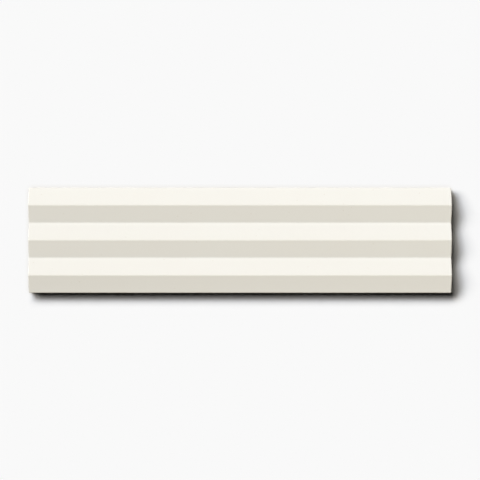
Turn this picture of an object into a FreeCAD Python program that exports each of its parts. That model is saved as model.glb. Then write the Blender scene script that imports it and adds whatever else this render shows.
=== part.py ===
import FreeCAD, Part
import math
import os

# A bevelled ceramic wall tile, fired in one piece.
# Its glazed face is folded into straight ridges that run the whole length, and slopes
# down to both long edges, so that tiles laid side by side carry the fold on.
# The edges lie a little lower than the valleys.
# Its back is pressed with shallow cells that key into the adhesive.

# Frame: X along the ridges, Y across them, Z up out of the glazed face.
# The origin is the middle of the back, on the plane that the back's ribs stand on.

# Driving dimensions of the body in millimetres
# Heights are to the sharp corners of the fold, before they are rounded
tile_length = 300.0
bevel_count = 3
bevel_pitch = 24.8
edge_thickness = 7.5
valley_thickness = 8.2
bevel_rise = 4.0
ridge_radius = 1.5
valley_radius = 2.0
arris_radius = 0.8
back_chamfer = 0.5

# Driving dimensions of the back's relief
rim_width = 6.0
rib_width = 3.0
cell_pitch_target = 20.0
cell_depth = 0.8
cell_draft = 0.5
cell_corner_radius = 2.0

# Sizes worked out from the driving dimensions
half_pitch = bevel_pitch / 2
tile_width = bevel_count * bevel_pitch
half_length = tile_length / 2
half_width = tile_width / 2
ridge_thickness = valley_thickness + bevel_rise

# A length that is lost in the tolerance of the model
tiny = 1e-4


def fold_corners():
    """The sharp corners of the fold, from the left long edge to the right one."""
    corners = []
    for index in range(2 * bevel_count + 1):
        if index % 2:
            height = ridge_thickness
        elif 0 < index < 2 * bevel_count:
            height = valley_thickness
        else:
            height = edge_thickness
        corners.append(FreeCAD.Vector(0, -half_width + index * half_pitch, height))
    return corners


def blend(before, corner, after, radius):
    """The arc that rounds a corner of the fold, tangent to the slopes on both sides of it."""
    arriving = (corner - before).normalize()
    leaving = (after - corner).normalize()
    half_turn = arriving.getAngle(leaving) / 2
    reach = radius * math.tan(half_turn)
    sagitta = radius * (1 / math.cos(half_turn) - 1)
    middle = corner + (leaving - arriving).normalize() * sagitta
    return Part.Arc(corner - arriving * reach, middle, corner + leaving * reach).toShape()


def folded_face(corners):
    """The slopes and blends of the glazed face, through its sharp corners."""
    edges = []
    reached = corners[0]
    for index in range(1, len(corners) - 1):
        radius = ridge_radius if index % 2 else valley_radius
        arc = blend(corners[index - 1], corners[index], corners[index + 1], radius)
        edges.append(Part.LineSegment(reached, arc.firstVertex().Point).toShape())
        edges.append(arc)
        reached = arc.lastVertex().Point
    edges.append(Part.LineSegment(reached, corners[-1]).toShape())
    return edges


def folded_block():
    """The section across the ridges, drawn out along the tile."""
    left_foot = FreeCAD.Vector(0, -half_width, 0)
    right_foot = FreeCAD.Vector(0, half_width, 0)
    corners = fold_corners()
    outline = [Part.LineSegment(left_foot, corners[0]).toShape()]
    outline += folded_face(corners)
    outline.append(Part.LineSegment(corners[-1], right_foot).toShape())
    outline.append(Part.LineSegment(right_foot, left_foot).toShape())
    section = Part.Face(Part.Wire(outline))
    block = section.extrude(FreeCAD.Vector(tile_length, 0, 0))
    block.translate(FreeCAD.Vector(-half_length, 0, 0))
    return block


def lies_in_a_side(edge):
    """True for an edge that lies in one of the four upright sides of the block."""
    box = edge.BoundBox
    from_long_side = max(abs(box.YMin), abs(box.YMax)) - half_width
    from_end = max(abs(box.XMin), abs(box.XMax)) - half_length
    in_long_side = box.YLength < tiny and abs(from_long_side) < tiny
    in_end = box.XLength < tiny and abs(from_end) < tiny
    return in_long_side or in_end


def with_soft_arrises(block):
    """The upright corners and the rim of the face, rounded as the glaze leaves them."""
    rim = [edge for edge in block.Edges if lies_in_a_side(edge) and edge.BoundBox.ZMax > tiny]
    return block.makeFillet(arris_radius, rim)


def with_back_chamfer(block):
    """The foot of the tile, chamfered all round so that it doesn't chip."""
    foot = [edge for edge in block.Edges if edge.BoundBox.ZMax < tiny]
    return block.makeChamfer(back_chamfer, foot)


def rounded_rectangle(length, width, radius, z):
    """A closed wire round the origin at height z: a smaller rectangle, swollen by the radius."""
    x = length / 2 - radius
    y = width / 2 - radius
    corners = [(x, y), (-x, y), (-x, -y), (x, -y), (x, y)]
    core = Part.makePolygon([FreeCAD.Vector(corner_x, corner_y, z) for corner_x, corner_y in corners])
    return core.makeOffset2D(radius)


def cells_along(clear_length):
    """An even number of cells, and their size, so that a rib crosses the middle."""
    pairs = max(1, round(clear_length / (2 * cell_pitch_target)))
    count = 2 * pairs
    size = (clear_length + rib_width) / count - rib_width
    return count, size


def key_cells():
    """The shallow cells of the back, each narrowing towards its floor."""
    columns, length = cells_along(tile_length - 2 * rim_width)
    rows, width = cells_along(tile_width - 2 * rim_width)
    mouth = rounded_rectangle(length, width, cell_corner_radius, 0)
    floor_radius = cell_corner_radius - cell_draft
    floor = rounded_rectangle(length - 2 * cell_draft, width - 2 * cell_draft, floor_radius, cell_depth)
    cell = Part.makeLoft([mouth, floor], True, True)
    cells = []
    for column in range(columns):
        for row in range(rows):
            x = (column - (columns - 1) / 2) * (length + rib_width)
            y = (row - (rows - 1) / 2) * (width + rib_width)
            cells.append(cell.translated(FreeCAD.Vector(x, y, 0)))
    return cells


def bevelled_tile():
    """The whole tile: the folded block with its edges eased and the cells pressed into its back."""
    block = with_back_chamfer(with_soft_arrises(folded_block()))
    return block.cut(key_cells())


os.makedirs("parts", exist_ok=True)
tile = bevelled_tile()
tile.exportStep("parts/tile.step")
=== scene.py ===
import math
import random

import bmesh
import bpy
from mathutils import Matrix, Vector, noise


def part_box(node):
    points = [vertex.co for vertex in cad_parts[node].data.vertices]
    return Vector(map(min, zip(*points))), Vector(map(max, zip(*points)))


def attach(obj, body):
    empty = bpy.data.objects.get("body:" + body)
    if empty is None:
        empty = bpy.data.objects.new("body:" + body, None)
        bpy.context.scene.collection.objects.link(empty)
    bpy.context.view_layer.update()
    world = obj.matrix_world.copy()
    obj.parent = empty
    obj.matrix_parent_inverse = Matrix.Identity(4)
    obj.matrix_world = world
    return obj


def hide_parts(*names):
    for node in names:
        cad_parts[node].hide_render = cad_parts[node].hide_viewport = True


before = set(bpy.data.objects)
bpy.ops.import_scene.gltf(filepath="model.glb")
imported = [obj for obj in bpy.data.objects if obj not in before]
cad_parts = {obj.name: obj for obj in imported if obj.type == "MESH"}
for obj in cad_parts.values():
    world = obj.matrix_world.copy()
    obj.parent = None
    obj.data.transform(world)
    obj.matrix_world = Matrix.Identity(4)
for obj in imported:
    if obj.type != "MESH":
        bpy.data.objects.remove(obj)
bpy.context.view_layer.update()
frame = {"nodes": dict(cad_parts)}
mm = 0.001  # the sizes below are written in millimetres
print("frame loaded:", ", ".join(frame["nodes"]))


# the tile's body, on the sizes of the solid that it dresses, with a finer arris and sides that
# lean in

tileShape = dict(
    bevelCount=3,
    bevelRise=4.0 * mm,  # valley to ridge, to the sharp corners
    edgeDrop=0.7 * mm,  # how far the two long edges lie below the valleys
    ridgeRadius=1.5 * mm,
    valleyRadius=2.0 * mm,
    arrisRadius=0.6 * mm,
    backChamfer=0.5 * mm,
    sideDraft=math.radians(6),  # the sides lean in towards the back, to leave the press
    draftReach=4 * mm,  # how far in from the sides the draft moves the mesh
    columns=230,  # mesh steps along the ridges
    slopeSteps=8,  # mesh steps up one slope
    blendSteps=6,  # mesh steps over a ridge or a valley
    supportGap=0.25 * mm,  # keeps the shading of the slopes flat up to the blends
    cornerSteps=6,
    arrisSteps=7,
    sharpAngle=math.radians(38),  # edges that bend by more than this are shaded sharp
)

glazeCoat = dict(
    thickness=0.15 * mm,  # how far the glaze stands proud of the clay on the sides
    overrun=2.6 * mm,  # how far it ran down the sides
    swell=dict(height=0.8 * mm, length=31 * mm, cut=4.2),  # how uneven that is
    ripple=dict(height=0.35 * mm, length=5 * mm, cut=7.7),  # how the lip wavers
    drips=34,
    dripDepth=(0.3 * mm, 1.1 * mm),
    dripWidth=(1.2 * mm, 3.4 * mm),
    seed=11,
    sideSteps=4,  # mesh steps down the glaze, round its lip and down the clay
    wave=dict(height=0.02 * mm, length=38 * mm, cut=0.3),  # left by the melt on the face
    ridgeFade=1.3 * mm,  # how far from a ridge or an arris the melt is thin
    valleyFade=2.0 * mm,  # how far from a valley it is thick, and lighter in colour as painted bounce light
    arrisThinness=0.4,  # how thin it is on the arris, where a ridge has 1
)

backRelief = dict(
    rimWidth=6.0 * mm,
    ribWidth=3.0 * mm,
    cellPitch=20.0 * mm,
    cellDepth=0.8 * mm,
    cellDraft=0.5 * mm,
    cornerRadius=2.0 * mm,
    leastRadius=0.2 * mm,  # keeps a corner round, whatever the draft
    softening=0.35,  # how far the pressed wall's curves reach past it, as a share of the draft
    wallSteps=7,
    cornerSteps=6,
    sideSteps=3,
    weldReach=0.01 * mm,  # joins the cells where they meet along the ribs
)

tileLow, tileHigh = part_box("tile")
halfLength = (tileHigh.x - tileLow.x) / 2
halfWidth = (tileHigh.y - tileLow.y) / 2
bevelPitch = 2 * halfWidth / tileShape["bevelCount"]
halfPitch = bevelPitch / 2
bevelAngle = math.atan(tileShape["bevelRise"] / halfPitch)
edgeAngle = math.atan((tileShape["bevelRise"] + tileShape["edgeDrop"]) / halfPitch)
# the height of the sharp ridges, worked out from the rounded middle one, the solid's highest
sharpRidge = tileHigh.z + tileShape["ridgeRadius"] * (1 / math.cos(bevelAngle) - 1)
sharpValley = sharpRidge - tileShape["bevelRise"]
edgeHeight = sharpValley - tileShape["edgeDrop"]

# the order of the two materials on the mesh
glazeIndex = 0
clayIndex = 1


def slopeAngles():
    # the angle of each slope from the lower long edge to the upper one, up and down in turn
    inner = [bevelAngle] * (2 * tileShape["bevelCount"] - 2)
    angles = [edgeAngle, *inner, edgeAngle]
    return [-angle if index % 2 else angle for index, angle in enumerate(angles)]


def normalTo(angle):
    # the way out of a slope
    return Vector((-math.sin(angle), math.cos(angle)))


def foldBlends():
    # the arc over each ridge and in each valley, tangent to the slopes on both sides of it
    angles = slopeAngles()
    arcs = []
    for corner in range(1, len(angles)):
        onRidge = corner % 2 == 1
        side = 1 if onRidge else -1
        radius = tileShape["ridgeRadius" if onRidge else "valleyRadius"]
        sharp = Vector((-halfWidth + corner * halfPitch, sharpRidge if onRidge else sharpValley))
        before = normalTo(angles[corner - 1])
        after = normalTo(angles[corner])
        centre = sharp - side * radius * (before + after) / (1 + before.dot(after))
        start = centre.x + side * radius * before.x
        end = centre.x + side * radius * after.x
        arcs.append(dict(start=start, end=end, centre=centre, radius=side * radius))
    return arcs


blends = foldBlends()


def foldHeight(y):
    # height of the glazed face: straight slopes, blended at each ridge and valley
    for arc in blends:
        if arc["start"] < y < arc["end"]:
            rise = math.sqrt(arc["radius"] ** 2 - (y - arc["centre"].x) ** 2)
            return arc["centre"].y + math.copysign(rise, arc["radius"])
    fromRidge = abs((y + halfWidth) % bevelPitch - halfPitch)
    angle = edgeAngle if abs(y) > halfWidth - halfPitch else bevelAngle
    return sharpRidge - fromRidge * math.tan(angle)


def unevenness(waves, x, y):
    # smooth waves, with a cut of its own through the noise for each set of them
    length = waves["length"]
    return waves["height"] * noise.noise(Vector((x / length, y / length, waves["cut"])))


def spread(start, end, steps):
    # evenly spaced values after start, up to and with end
    return [start + (end - start) * step / steps for step in range(1, steps + 1)]


def faceRows():
    # where the rows of the mesh lie across the ridges, close together only where the face bends
    gap = tileShape["supportGap"]
    edge = halfWidth - tileShape["arrisRadius"] - gap
    rows = [-edge]
    for arc in blends:
        rows += spread(rows[-1], arc["start"] - gap, tileShape["slopeSteps"])
        rows += [arc["start"]]
        rows += spread(arc["start"], arc["end"], tileShape["blendSteps"])
        rows += [arc["end"] + gap]
    return rows + spread(rows[-1], edge, tileShape["slopeSteps"])


def foldedFace(bm):
    # the glazed face inside the arrises, as rows of vertices
    edge = halfLength - tileShape["arrisRadius"] - tileShape["supportGap"]
    columns = [-edge] + spread(-edge, edge, tileShape["columns"])
    wave = glazeCoat["wave"]
    grid = [
        [bm.verts.new((x, y, foldHeight(y) + unevenness(wave, x, y))) for x in columns]
        for y in faceRows()
    ]
    for lower, upper in zip(grid, grid[1:]):
        for column in range(len(columns) - 1):
            bm.faces.new((lower[column], lower[column + 1], upper[column + 1], upper[column]))
    return grid


def rimStations(grid):
    # all round the face: the vertex that each strip of the sides starts from, its foot on the
    # outline that the arris turns about, and the way out from there
    alongX = halfLength - tileShape["arrisRadius"]
    alongY = halfWidth - tileShape["arrisRadius"]
    sides = [
        (grid[0], -90),
        ([row[-1] for row in grid], 0),
        (grid[-1][::-1], 90),
        ([row[0] for row in grid][::-1], 180),
    ]
    stations = []
    for vertices, heading in sides:
        outX = round(math.cos(math.radians(heading)))
        outY = round(math.sin(math.radians(heading)))
        for vertex in vertices:
            foot = Vector((outX * alongX or vertex.co.x, outY * alongY or vertex.co.y))
            stations.append((vertex, foot, Vector((outX, outY))))
        corner = vertices[-1]
        foot = Vector((math.copysign(alongX, corner.co.x), math.copysign(alongY, corner.co.y)))
        for step in range(tileShape["cornerSteps"] + 1):
            turn = math.radians(heading + 90 * step / tileShape["cornerSteps"])
            stations.append((corner, foot, Vector((math.cos(turn), math.sin(turn)))))
    return stations


def dripPlaces():
    # where the glaze ran further down, as (place on the outline, depth, width)
    chance = random.Random(glazeCoat["seed"])
    places = []
    for drip in range(glazeCoat["drips"]):
        if chance.random() < halfLength / (halfLength + halfWidth):
            place = (chance.uniform(-halfLength, halfLength), chance.choice((-halfWidth, halfWidth)))
        else:
            place = (chance.choice((-halfLength, halfLength)), chance.uniform(-halfWidth, halfWidth))
        depth = chance.uniform(*glazeCoat["dripDepth"])
        width = chance.uniform(*glazeCoat["dripWidth"])
        places.append((Vector(place), depth, width))
    return places


def glazeRun(place, drips):
    # how far the glaze ran down the side at this place on the outline
    run = glazeCoat["overrun"]
    for waves in (glazeCoat["swell"], glazeCoat["ripple"]):
        run += unevenness(waves, place.x, place.y)
    for centre, depth, width in drips:
        run += depth * math.exp(-((place - centre).length / width) ** 2)
    return run


def sideSection(foot, out, drips):
    # one strip from the face to the back, as (distance out, height, glazed) points
    radius = tileShape["arrisRadius"]
    coat = glazeCoat["thickness"]
    steps = glazeCoat["sideSteps"]
    # the arris leaves the face level at the ends, and down the outer slope on the long sides
    slope = math.atan(abs(out.y) * math.tan(edgeAngle))
    centre = foldHeight(foot.y) - radius / math.cos(slope)
    points = []
    for step in range(tileShape["arrisSteps"] + 1):
        turn = slope + (math.pi / 2 - slope) * step / tileShape["arrisSteps"]
        points.append((radius * math.sin(turn), centre + radius * math.cos(turn), True))
    lip = centre - glazeRun(foot + out * radius, drips)
    for height in spread(centre, lip + coat, steps):
        points.append((radius, height, True))
    for turn in spread(0, math.pi / 2, steps):
        points.append((radius - coat * (1 - math.cos(turn)), lip + coat * (1 - math.sin(turn)), True))
    chamfer = tileShape["backChamfer"]
    for height in spread(lip, chamfer - coat, steps):
        points.append((radius - coat, height, False))
    points.append((radius - chamfer, 0, False))
    return points


def glazedSides(bm, grid):
    # arrises, glazed upper walls, the lip that the glaze ends in, bare clay walls and foot chamfer
    drips = dripPlaces()
    strips = []
    for vertex, foot, out in rimStations(grid):
        section = sideSection(foot, out, drips)
        strip = []
        for distance, height, glazed in section:
            strip.append(bm.verts.new((*(foot + out * distance), height)))
        strips.append((vertex, strip, [glazed for distance, height, glazed in section]))
    for current, following in zip(strips, strips[1:] + strips[:1]):
        start, strip, glazed = current
        nextStart, nextStrip = following[:2]
        rim = [start, strip[0], nextStrip[0]]
        if nextStart is not start:
            rim.append(nextStart)
        bm.faces.new(rim)
        for step in range(len(strip) - 1):
            face = bm.faces.new((strip[step], strip[step + 1], nextStrip[step + 1], nextStrip[step]))
            face.material_index = glazeIndex if glazed[step + 1] else clayIndex


def cellsAlong(clearLength):
    # an even number of cells, and the size of each
    rib = backRelief["ribWidth"]
    count = 2 * max(1, round(clearLength / (2 * backRelief["cellPitch"])))
    return count, (clearLength + rib) / count - rib


def cellOutline(length, width, inset):
    # the rounded outline of one cell, inset from its mouth, as points round the origin
    radius = max(backRelief["cornerRadius"] - inset, backRelief["leastRadius"])
    x = length / 2 - inset - radius
    y = width / 2 - inset - radius
    points = []
    for heading, cornerX, cornerY in ((0, x, y), (90, -x, y), (180, -x, -y), (270, x, -y)):
        for step in range(backRelief["cornerSteps"] + 1):
            turn = math.radians(heading + 90 * step / backRelief["cornerSteps"])
            points.append((cornerX + radius * math.cos(turn), cornerY + radius * math.sin(turn)))
        nextX, nextY = (-cornerX, cornerY) if heading % 180 == 0 else (cornerX, -cornerY)
        turn = math.radians(heading + 90)
        start = Vector(points[-1])
        end = Vector((nextX + radius * math.cos(turn), nextY + radius * math.sin(turn)))
        for step in range(1, backRelief["sideSteps"]):
            points.append(tuple(start.lerp(end, step / backRelief["sideSteps"])))
    return points


def ribOutline(length, width):
    # the middle lines of the ribs round one cell, with a point for each point of the cell's outline
    halfX = (length + backRelief["ribWidth"]) / 2
    halfY = (width + backRelief["ribWidth"]) / 2
    steps = backRelief["cornerSteps"]
    perCorner = steps + backRelief["sideSteps"]
    points = []
    for index, (x, y) in enumerate(cellOutline(length, width, 0)):
        corner, step = divmod(index, perCorner)
        towardX = (corner % 2 == 0) == (step < steps / 2)
        if step == steps / 2:
            points.append((math.copysign(halfX, x), math.copysign(halfY, y)))
        elif towardX:
            points.append((math.copysign(halfX, x), y))
        else:
            points.append((x, math.copysign(halfY, y)))
    return points


def keyCell(bm, centreX, centreY, length, width):
    # one pressed cell: flat rib, soft mouth, drafted wall, flat floor
    softening = backRelief["softening"]
    loops = [[(x, y, 0) for x, y in ribOutline(length, width)]]
    for step in range(backRelief["wallSteps"] + 1):
        share = step / backRelief["wallSteps"]
        inset = backRelief["cellDraft"] * ((1 + 2 * softening) * share - softening)
        depth = backRelief["cellDepth"] * share * share * (3 - 2 * share)
        loops.append([(x, y, depth) for x, y in cellOutline(length, width, inset)])
    rings = [[bm.verts.new((centreX + x, centreY + y, z)) for x, y, z in loop] for loop in loops]
    for outer, inner in zip(rings, rings[1:]):
        for index in range(len(outer)):
            after = (index + 1) % len(outer)
            bm.faces.new((outer[index], outer[after], inner[after], inner[index]))
    bm.faces.new(rings[-1])
    return rings[0]


def pressedBack(bm):
    # the field of key cells, closed to the foot of the sides by the flat rim
    columns, length = cellsAlong(2 * (halfLength - backRelief["rimWidth"]))
    rows, width = cellsAlong(2 * (halfWidth - backRelief["rimWidth"]))
    ribLines = []
    before = len(bm.faces)
    for column in range(columns):
        for row in range(rows):
            x = (column - (columns - 1) / 2) * (length + backRelief["ribWidth"])
            y = (row - (rows - 1) / 2) * (width + backRelief["ribWidth"])
            ribLines += keyCell(bm, x, y, length, width)
    bmesh.ops.remove_doubles(bm, verts=ribLines, dist=backRelief["weldReach"])
    openEdges = [edge for edge in bm.edges if edge.is_boundary]
    bmesh.ops.triangle_fill(bm, use_beauty=True, edges=openEdges)
    bm.faces.ensure_lookup_table()
    for face in bm.faces[before:]:
        face.material_index = clayIndex


def draftedIn(place, half, below):
    # a coordinate drawn in by the draft of the side that it is close to
    share = max(0, 1 - (half - abs(place)) / tileShape["draftReach"])
    return place - math.copysign(share * below * math.tan(tileShape["sideDraft"]), place)


def leanSides(bm):
    # the ends keep their length at the ridges, the long sides their width at the face's edges
    for vertex in bm.verts:
        x, y, z = vertex.co
        vertex.co.x = draftedIn(x, halfLength, tileHigh.z - z)
        vertex.co.y = draftedIn(y, halfWidth, max(0, edgeHeight - z))


def markGlazeDepthAndValleyLight(mesh):
    # 0 where the melt drew thin, on ridges and arrises, 1 where it gathered, in the valleys, where
    # the glaze is also painted lighter as light bounced into the valleys
    ridgeFade = glazeCoat["ridgeFade"]
    valleyFade = glazeCoat["valleyFade"]
    depth = mesh.attributes.new("glazeDepthAndValleyLight", "FLOAT", "POINT")
    values = []
    for vertex in mesh.vertices:
        x, y, z = vertex.co
        fromRidge = abs((y + halfWidth) % bevelPitch - halfPitch)
        toEdge = min(halfLength - abs(x), halfWidth - abs(y))
        thin = math.exp(-((fromRidge / ridgeFade) ** 2))
        thin = max(thin, glazeCoat["arrisThinness"] * math.exp(-((toEdge / ridgeFade) ** 2)))
        valleyPoolAndBounce = math.exp(-(((halfPitch - fromRidge) / valleyFade) ** 2)) * (1 - thin)
        values.append((1 - thin + valleyPoolAndBounce) / 2)
    depth.data.foreach_set("value", values)


def makeTile():
    bm = bmesh.new()
    grid = foldedFace(bm)
    glazedSides(bm, grid)
    pressedBack(bm)
    leanSides(bm)
    bmesh.ops.recalc_face_normals(bm, faces=bm.faces)
    mesh = bpy.data.meshes.new("glazed_tile")
    bm.to_mesh(mesh)
    bm.free()
    mesh.shade_smooth()
    mesh.set_sharp_from_angle(angle=tileShape["sharpAngle"])
    markGlazeDepthAndValleyLight(mesh)
    tile = bpy.data.objects.new("glazed_tile", mesh)
    bpy.context.scene.collection.objects.link(tile)
    return tile


# node groups that more than one material uses


class NodeTree:
    # a short way to add nodes, set their inputs and link them
    def __init__(self, tree):
        self.tree = tree

    def add(self, kind, inputs=None, **settings):
        node = self.tree.nodes.new(kind)
        for name, value in settings.items():
            setattr(node, name, value)
        for name, value in (inputs or {}).items():
            if isinstance(value, bpy.types.NodeSocket):
                self.feed(value, node.inputs[name])
            else:
                node.inputs[name].default_value = value
        return node

    def feed(self, value, socket):
        self.tree.links.new(value, socket)

    def calculate(self, operation, first, second, **settings):
        node = self.add("ShaderNodeMath", {0: first, 1: second}, operation=operation, **settings)
        return node.outputs[0]

    def mixColours(self, share, first, second, **settings):
        # the mix node has sockets for each kind of value under the same names, so those for
        # colours are picked by number
        sockets = {0: share, 6: first, 7: second}
        return self.add("ShaderNodeMix", sockets, data_type="RGBA", **settings).outputs[2]

    def group(self, name, inputs):
        return self.add("ShaderNodeGroup", inputs, node_tree=bpy.data.node_groups[name]).outputs


def newGroup(name, inputs, outputs):
    # a group with its inputs as name and plain value, and the nodes to build it with
    tree = bpy.data.node_groups.new(name, "ShaderNodeTree")
    tree.interface.new_socket("Vector", in_out="INPUT", socket_type="NodeSocketVector")
    for socketName, value in inputs.items():
        socket = tree.interface.new_socket(socketName, in_out="INPUT", socket_type="NodeSocketFloat")
        socket.default_value = value
    for socketName in outputs:
        tree.interface.new_socket(socketName, in_out="OUTPUT", socket_type="NodeSocketFloat")
    nodes = NodeTree(tree)
    start = nodes.add("NodeGroupInput")
    end = nodes.add("NodeGroupOutput")
    return nodes, start.outputs, end.inputs


def cloudGroup():
    # soft clouds with finer ones in them, centred on the middle value
    middle = 0.5
    nodes, given, put = newGroup("firedClouds", {"Size": 30.0, "Contrast": 1.0}, ["Value"])
    pattern = nodes.add(
        "ShaderNodeTexNoise",
        {"Vector": given["Vector"], "Scale": given["Size"], "Detail": 3.0, "Roughness": 0.55},
    )
    offMiddle = nodes.calculate("SUBTRACT", pattern.outputs["Fac"], middle)
    scaled = nodes.calculate("MULTIPLY", offMiddle, given["Contrast"])
    nodes.feed(nodes.calculate("ADD", scaled, middle, use_clamp=True), put["Value"])


def speckGroup():
    # sparse specks of iron from the clay: 1 on a speck, 0 elsewhere
    core = 0.1  # a speck has its full tint out to here, in shares of a cell
    rim = 0.28  # and ends here
    nodes, given, put = newGroup("ironSpecks", {"Density": 400.0, "Share": 0.1}, ["Mask"])
    cells = nodes.add(
        "ShaderNodeTexVoronoi",
        {"Vector": given["Vector"], "Scale": given["Density"]},
    )
    pick = nodes.add("ShaderNodeSeparateColor", {"Color": cells.outputs["Color"]})
    chosen = nodes.calculate("LESS_THAN", pick.outputs[0], given["Share"])
    spot = nodes.add(
        "ShaderNodeMapRange",
        {
            "Value": cells.outputs["Distance"],
            "From Min": core,
            "From Max": rim,
            "To Min": 1.0,
            "To Max": 0.0,
        },
    )
    nodes.feed(nodes.calculate("MULTIPLY", chosen, spot.outputs[0]), put["Mask"])


def grainGroup():
    # the two grains of a fired surface, for the heights of two bumps
    inputs = {"Coarse Size": 300.0, "Coarse Detail": 2.0, "Fine Size": 3000.0, "Fine Detail": 2.0}
    nodes, given, put = newGroup("firedGrain", inputs, ["Coarse", "Fine"])
    for grain in ("Coarse", "Fine"):
        pattern = nodes.add(
            "ShaderNodeTexNoise",
            {
                "Vector": given["Vector"],
                "Scale": given[grain + " Size"],
                "Detail": given[grain + " Detail"],
            },
        )
        nodes.feed(pattern.outputs["Fac"], put[grain])


def newMaterial(name):
    material = bpy.data.materials.new(name)
    material.use_nodes = True
    nodes = NodeTree(material.node_tree)
    return material, nodes, nodes.tree.nodes["Principled BSDF"]


def clouded(nodes, place, size, contrast):
    # soft patches from 0 to 1
    inputs = {"Vector": place, "Size": size, "Contrast": contrast}
    return nodes.group("firedClouds", inputs)["Value"]


def speckled(nodes, place, colour, look):
    # a colour with the clay's specks strewn over it
    specks = nodes.group(
        "ironSpecks",
        {"Vector": place, "Density": look["speckDensity"], "Share": look["speckShare"]},
    )
    share = nodes.calculate("MULTIPLY", specks["Mask"], look["speckStrength"])
    return nodes.mixColours(share, colour, look["speckTint"])


def grained(nodes, place, look):
    # the normal of a surface with the bump of its fine grain on top of that of its coarse one
    grain = nodes.group(
        "firedGrain",
        {
            "Vector": place,
            "Coarse Size": look["coarseSize"],
            "Coarse Detail": look["coarseDetail"],
            "Fine Size": look["fineSize"],
            "Fine Detail": look["fineDetail"],
        },
    )
    coarse = nodes.add(
        "ShaderNodeBump",
        {"Height": grain["Coarse"], "Distance": look["coarseHeight"]},
    )
    fine = nodes.add(
        "ShaderNodeBump",
        {"Height": grain["Fine"], "Distance": look["fineHeight"], "Normal": coarse.outputs[0]},
    )
    return fine.outputs[0]


glazeLook = dict(
    thin=(0.787, 0.770, 0.707, 1),  # the clay shows through a little
    body=(0.801, 0.785, 0.731, 1),
    # pooled in the valleys: lighter partly as whiter thick glaze, partly as painted light bounced
    # into the valleys
    valleyPoolAndBounce=(0.822, 0.810, 0.758, 1),
    cloudTint=(0.795, 0.770, 0.715, 1),
    cloudSize=45.0,
    cloudContrast=1.6,
    cloudStrength=0.55,
    speckTint=(0.62, 0.56, 0.46, 1),
    speckDensity=520.0,
    speckShare=0.02,
    speckStrength=0.35,
    roughness=(0.55, 0.63),
    ior=1.5,
    specular=0.35,
    coarseSize=420.0,  # orange peel, about 2 mm across
    coarseDetail=1.0,
    coarseHeight=0.012 * mm,
    fineSize=3200.0,
    fineDetail=2.0,
    fineHeight=0.002 * mm,
)


def glazeMaterial():
    material, nodes, shader = newMaterial("satinIvoryGlaze")
    place = nodes.add("ShaderNodeTexCoord").outputs["Object"]
    depth = nodes.add("ShaderNodeAttribute", attribute_name="glazeDepthAndValleyLight").outputs["Fac"]

    # thin, darker glaze on ridges and arrises, thick, lighter glaze in the valleys, where the lighter
    # colour is partly painted bounce light
    ramp = nodes.add("ShaderNodeValToRGB", {"Fac": depth})
    ramp.color_ramp.elements[0].color = glazeLook["thin"]
    ramp.color_ramp.elements[1].color = glazeLook["valleyPoolAndBounce"]
    ramp.color_ramp.elements.new(0.5).color = glazeLook["body"]  # halfway

    clouds = clouded(nodes, place, glazeLook["cloudSize"], glazeLook["cloudContrast"])
    cloudShare = nodes.calculate("MULTIPLY", clouds, glazeLook["cloudStrength"])
    tinted = nodes.mixColours(cloudShare, ramp.outputs["Color"], glazeLook["cloudTint"])
    nodes.feed(speckled(nodes, place, tinted, glazeLook), shader.inputs["Base Color"])

    low, high = glazeLook["roughness"]
    satin = nodes.add("ShaderNodeMapRange", {"Value": clouds, "To Min": low, "To Max": high})
    nodes.feed(satin.outputs[0], shader.inputs["Roughness"])
    nodes.feed(grained(nodes, place, glazeLook), shader.inputs["Normal"])
    shader.inputs["IOR"].default_value = glazeLook["ior"]
    shader.inputs["Specular IOR Level"].default_value = glazeLook["specular"]
    return material


clayLook = dict(
    body=(0.70, 0.63, 0.53, 1),
    warm=(0.63, 0.54, 0.43, 1),
    cloudSize=60.0,
    cloudContrast=2.2,
    wash=(0.80, 0.78, 0.72, 1),  # kiln wash, rolled on to the ribs in patches
    washHeight=(0.02 * mm, 0.2 * mm),  # full up to the first height, gone at the second
    washSize=240.0,
    washContrast=5.0,
    speckTint=(0.30, 0.22, 0.15, 1),
    speckDensity=900.0,
    speckShare=0.05,
    speckStrength=0.6,
    roughness=0.88,
    coarseSize=260.0,
    coarseDetail=4.0,
    coarseHeight=0.06 * mm,
    fineSize=2600.0,
    fineDetail=3.0,
    fineHeight=0.05 * mm,
)


def clayMaterial():
    material, nodes, shader = newMaterial("firedClay")
    place = nodes.add("ShaderNodeTexCoord").outputs["Object"]

    clouds = clouded(nodes, place, clayLook["cloudSize"], clayLook["cloudContrast"])
    clay = nodes.mixColours(clouds, clayLook["body"], clayLook["warm"])

    height = nodes.add("ShaderNodeSeparateXYZ", {"Vector": place}).outputs["Z"]
    low, high = clayLook["washHeight"]
    onRibs = nodes.add(
        "ShaderNodeMapRange",
        {"Value": height, "From Min": low, "From Max": high, "To Min": 1.0, "To Max": 0.0},
    )
    patches = clouded(nodes, place, clayLook["washSize"], clayLook["washContrast"])
    washShare = nodes.calculate("MULTIPLY", onRibs.outputs[0], patches)
    washed = nodes.mixColours(washShare, clay, clayLook["wash"])
    nodes.feed(speckled(nodes, place, washed, clayLook), shader.inputs["Base Color"])

    nodes.feed(grained(nodes, place, clayLook), shader.inputs["Normal"])
    shader.inputs["Roughness"].default_value = clayLook["roughness"]
    return material


# the studio: pale floor, pale world and soft light from the upper left

studio = dict(
    floorSize=12.0,
    floorDrop=0.02 * mm,  # keeps the floor clear of the back that lies on it
    floorColour=(0.987, 0.987, 0.987, 1),  # what the camera sees
    floorBounce=(0.35, 0.33, 0.30, 1),  # what lights the tile's sides
    contactShade=(0.84, 0.80, 0.73, 1),  # the floor is multiplied by this where the tile is close
    contactReach=4 * mm,
    worldColour=(0.93, 0.93, 0.93, 1),
    worldLight=0.0,  # the world is only seen: the lamps give all the light
)


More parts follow.
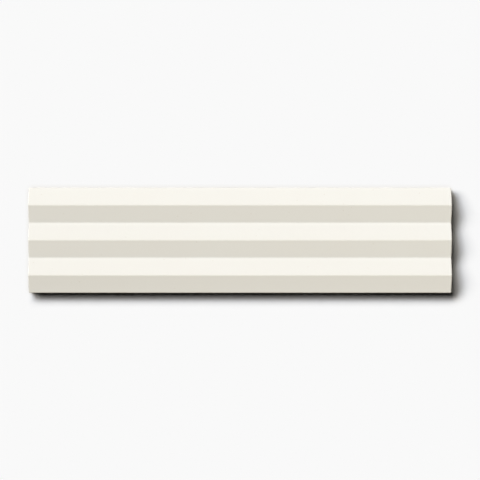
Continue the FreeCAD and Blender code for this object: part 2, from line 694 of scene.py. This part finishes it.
def backgroundRays(nodes):
    # 1 for rays that show the background itself, also in gloss and through glass
    path = nodes.add("ShaderNodeLightPath").outputs
    seen = nodes.calculate("ADD", path["Is Camera Ray"], path["Is Glossy Ray"])
    return nodes.calculate("ADD", seen, path["Is Transmission Ray"], use_clamp=True)


def floorMaterial():
    white = (1.0, 1.0, 1.0, 1.0)
    material, nodes, shader = newMaterial("paleFloor")
    colour = nodes.mixColours(backgroundRays(nodes), studio["floorBounce"], studio["floorColour"])
    near = nodes.add("ShaderNodeAmbientOcclusion", {"Distance": studio["contactReach"]})
    shade = nodes.mixColours(near.outputs["AO"], studio["contactShade"], white)
    shaded = nodes.mixColours(1.0, colour, shade, blend_type="MULTIPLY")
    nodes.feed(shaded, shader.inputs["Base Color"])
    shader.inputs["Roughness"].default_value = 1.0
    shader.inputs["Specular IOR Level"].default_value = 0.0
    # see-through from below, where the back of the tile is looked at
    below = nodes.add("ShaderNodeNewGeometry").outputs["Backfacing"]
    clear = nodes.add("ShaderNodeBsdfTransparent").outputs[0]
    oneSided = nodes.add("ShaderNodeMixShader", {0: below, 1: shader.outputs[0], 2: clear})
    nodes.feed(oneSided.outputs[0], nodes.tree.nodes["Material Output"].inputs["Surface"])
    return material


def makeFloor():
    bm = bmesh.new()
    bmesh.ops.create_grid(bm, x_segments=1, y_segments=1, size=studio["floorSize"] / 2)
    mesh = bpy.data.meshes.new("studio_floor")
    bm.to_mesh(mesh)
    bm.free()
    mesh.materials.append(floorMaterial())
    floor = bpy.data.objects.new("studio_floor", mesh)
    floor.location.z = -studio["floorDrop"]
    bpy.context.scene.collection.objects.link(floor)


def makeWorld():
    world = bpy.data.worlds.new("studioWorld")
    bpy.context.scene.world = world
    world.use_nodes = True
    nodes = NodeTree(world.node_tree)
    nodes.tree.nodes.clear()
    colour = studio["worldColour"]
    lit = nodes.add("ShaderNodeBackground", {"Color": colour, "Strength": studio["worldLight"]})
    shown = nodes.add("ShaderNodeBackground", {"Color": colour, "Strength": 1.0})
    mixed = nodes.add(
        "ShaderNodeMixShader",
        {0: backgroundRays(nodes), 1: lit.outputs[0], 2: shown.outputs[0]},
    )
    nodes.add("ShaderNodeOutputWorld", {"Surface": mixed.outputs[0]})


# A lamp's level is the light that it gives a level surface, where 1 shows a colour as written.
# The bounce is so near and wide that its level is a rough one.
# The suns' tints add up to white, and the outer two leave the shadow a little warm.
suns = dict(
    leftSun=dict(
        way=(-1.09, 0.505, 1.0),  # toward the lamp: left, away and up
        spread=math.radians(26),
        level=0.30,
        colour=(1.0, 0.97, 0.92),
    ),
    keySun=dict(
        way=(-0.67, 0.82, 1.0),
        spread=math.radians(25),
        level=0.473,
        colour=(0.888, 0.928, 1.0),
    ),
    rightSun=dict(
        way=(-0.215, 1.0, 1.0),
        spread=math.radians(22.5),
        level=0.24,
        colour=(1.0, 0.96, 0.88),
    ),
)

panels = dict(
    fillPanel=dict(  # lights the slopes that face away from the suns
        place=(1.30, -2.08, 0.86),
        size=0.91,
        level=0.118,
        colour=(1.0, 0.92, 0.72),
    ),
    bouncePanel=dict(  # lights the back when it is looked at
        place=(0.0, 0.0, -0.6),
        size=1.2,
        level=2.0,
        colour=(1.0, 0.98, 0.95),
    ),
)


def addLamp(name, light, way):
    # a lamp that shines back along the way toward it
    lamp = bpy.data.objects.new(name, light)
    lamp.rotation_euler = way.to_track_quat("Z", "Y").to_euler()
    bpy.context.scene.collection.objects.link(lamp)
    return lamp


def makeSun(name, way, spread, level, colour):
    # one light from far away, so that the whole floor has the same
    light = bpy.data.lights.new(name, "SUN")
    light.angle = spread
    light.color = colour
    way = Vector(way)
    light.energy = level * math.pi * way.length / way.z
    lamp = addLamp(name, light, way)
    lamp.visible_glossy = False  # no glint, which would burn out the glaze in low views


def makePanel(name, place, size, level, colour, lit):
    # a soft panel that faces the tile and lights only what is in one collection
    light = bpy.data.lights.new(name, "AREA")
    light.shape = "SQUARE"
    light.size = size
    light.color = colour
    way = Vector(place)
    light.energy = level * math.pi**2 * way.length**3 / abs(way.z)
    lamp = addLamp(name, light, way)
    lamp.location = place
    lamp.light_linking.receiver_collection = lit
    lamp.light_linking.blocker_collection = lit


def makeLights(tile):
    for name, values in suns.items():
        makeSun(name, **values)
    lit = bpy.data.collections.new("litByPanels")
    bpy.context.scene.collection.children.link(lit)
    lit.objects.link(tile)
    for name, values in panels.items():
        makePanel(name, **values, lit=lit)
    tile.visible_diffuse = False  # throws no light back on to the floor


view = dict(
    height=5.0,  # so far off that there is next to no perspective
    offset=0.2 * mm,  # how far the picture's middle lies off the tile's
    frameWidth=339.7 * mm,  # what the picture takes in at the height of the valleys
    sensor=36.0,  # in the camera's own millimetres
)


def makeCamera():
    data = bpy.data.cameras.new("camera")
    data.sensor_width = view["sensor"]
    data.lens = view["sensor"] * (view["height"] - sharpValley) / view["frameWidth"]
    camera = bpy.data.objects.new("camera", data)
    camera.location = (0, view["offset"], view["height"])
    bpy.context.scene.collection.objects.link(camera)
    bpy.context.scene.camera = camera


tile = makeTile()
print("tile made:", len(tile.data.polygons), "faces")

cloudGroup()
speckGroup()
grainGroup()
tile.data.materials.append(glazeMaterial())
tile.data.materials.append(clayMaterial())
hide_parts("tile")
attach(tile, "root")
print("glaze and clay made")

makeFloor()
makeWorld()
makeLights(tile)
makeCamera()
bpy.context.scene.view_settings.view_transform = "Standard"
print("studio set")
